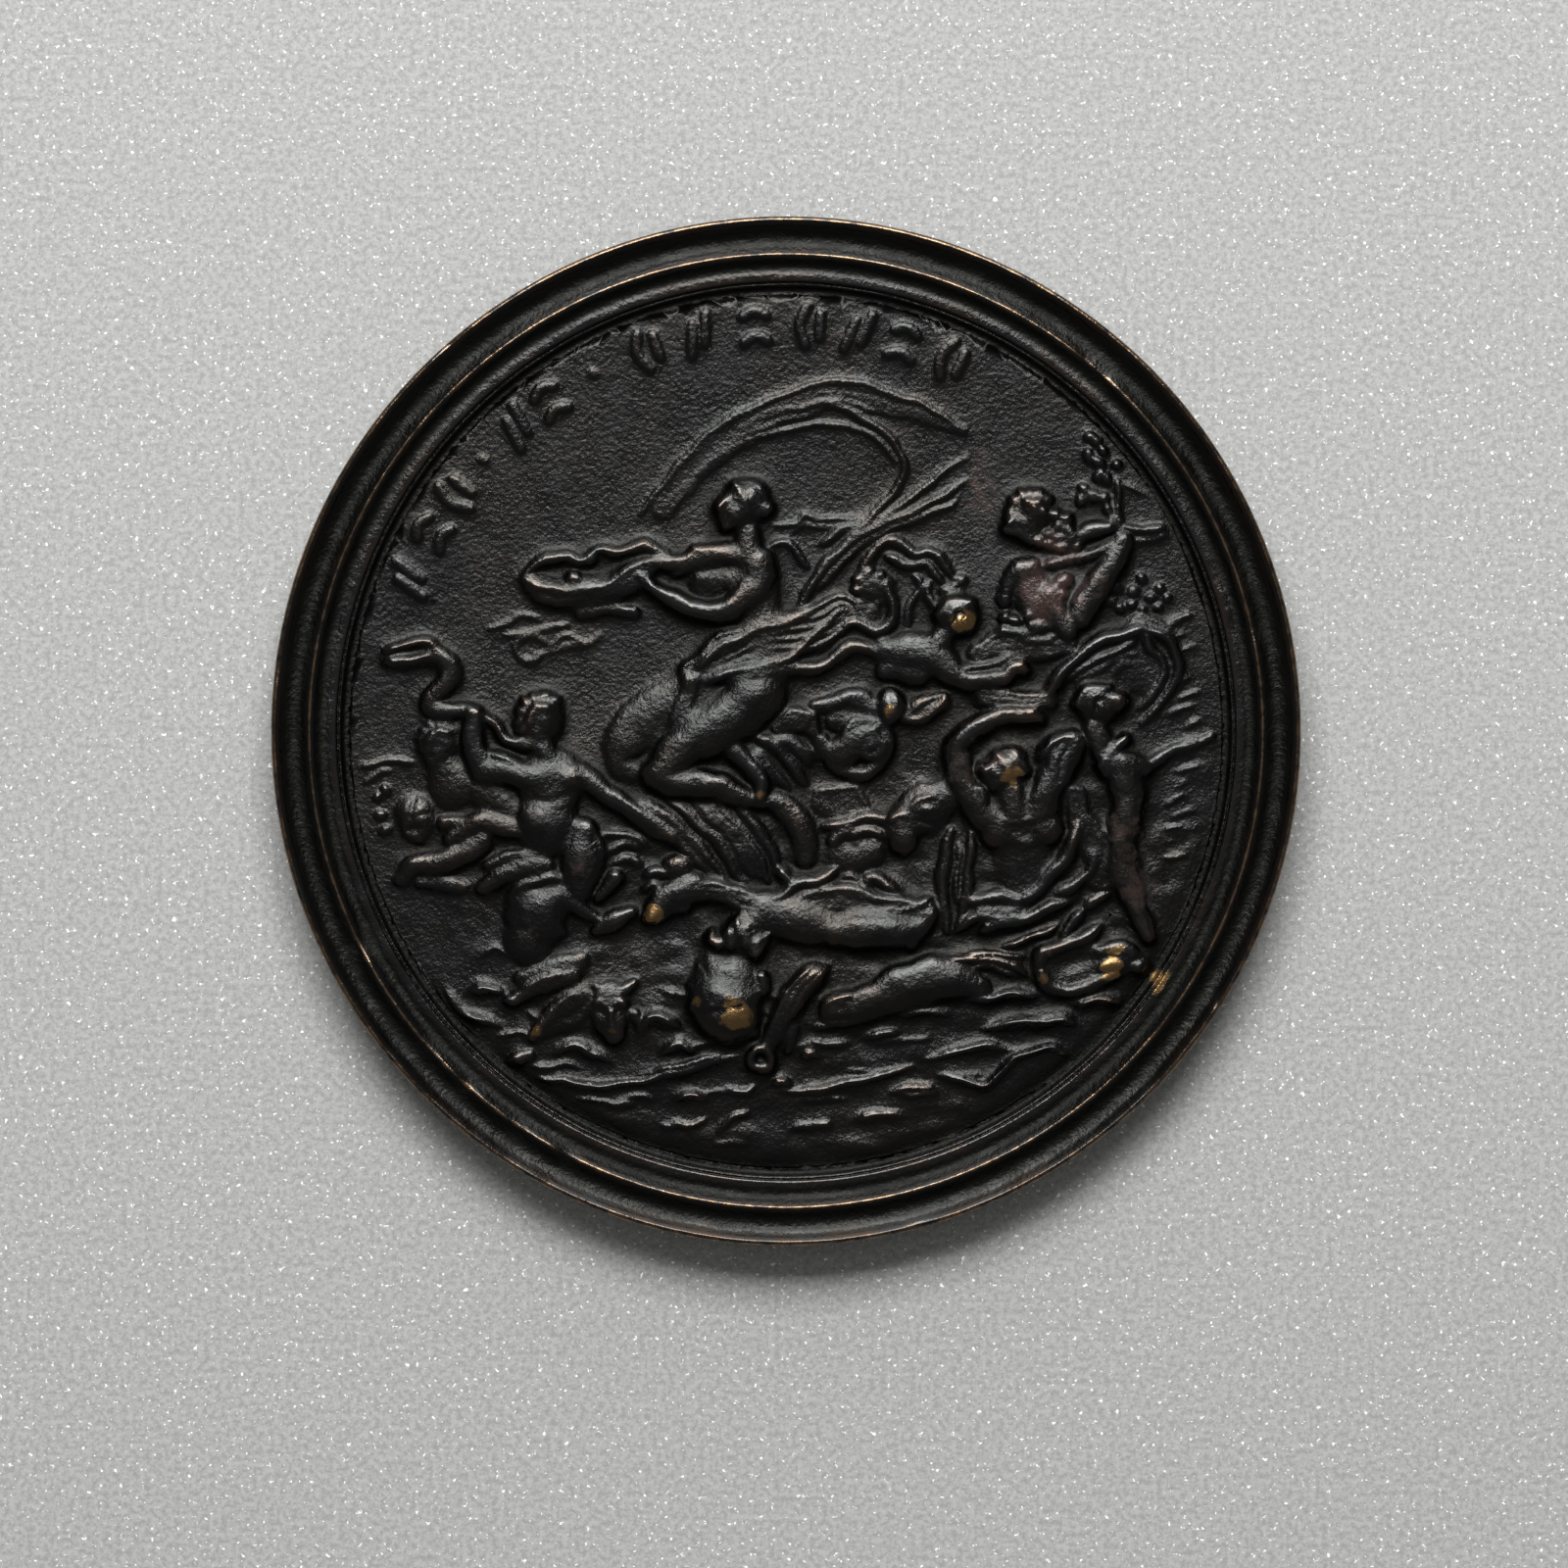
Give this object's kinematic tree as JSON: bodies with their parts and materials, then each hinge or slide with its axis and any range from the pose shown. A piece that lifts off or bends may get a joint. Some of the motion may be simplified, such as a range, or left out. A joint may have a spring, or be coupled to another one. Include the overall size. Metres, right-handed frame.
{
  "type": "portrait medal",
  "caption": "Cast bronze medal lying on its back: a turned rim with coves around a crowded sea triumph in high relief, over a plain recessed back.",
  "frame": {"origin": "centre of the flat ring behind the rim, on the surface that the medal lies on", "axes": "+Z out of the relief side, square to the disc; +Y is up in the picture; +X is to the picture's right"},
  "size_m": [0.087, 0.087, 0.0061],
  "materials": {
    "patinated_bronze": "near black waxed patina, satin, worn to copper brown on the rim and the highest forms"
  },
  "bodies": {
    "root": {"medal": "patinated_bronze"}
  },
  "joints": []
}
